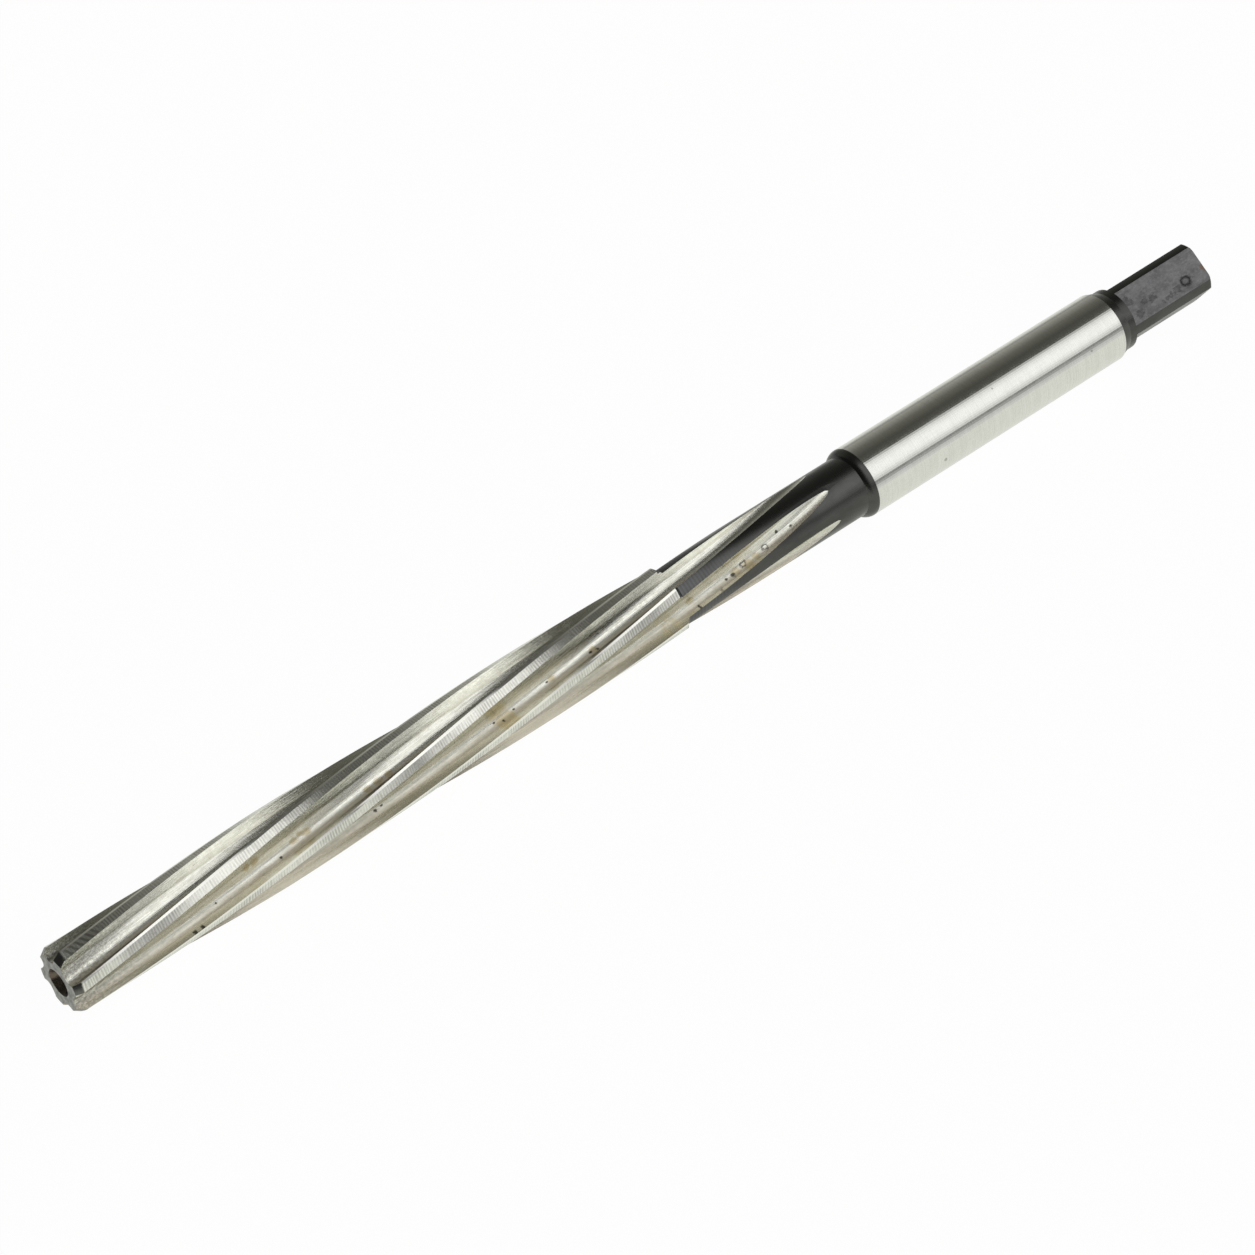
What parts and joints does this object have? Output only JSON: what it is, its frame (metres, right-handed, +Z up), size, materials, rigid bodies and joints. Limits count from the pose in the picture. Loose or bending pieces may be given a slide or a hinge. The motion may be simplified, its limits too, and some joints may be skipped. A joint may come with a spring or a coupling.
{
  "type": "hand reamer",
  "caption": "Straight-shank hand reamer with left-hand spiral flutes, a tapered lead, a relieved neck and a square drive end.",
  "frame": {"origin": "on the surface that the tool lies on, under the middle of its length", "axes": "+X along the tool from the cutting end to the square, +Z up from the surface, +Y completes it"},
  "size_m": [0.076, 0.004, 0.004],
  "materials": {
    "tool_steel": "ground bright on the lands, flutes and shank, dark on the neck, collar and square"
  },
  "bodies": {
    "root": {"reamer": "tool_steel"}
  },
  "joints": []
}
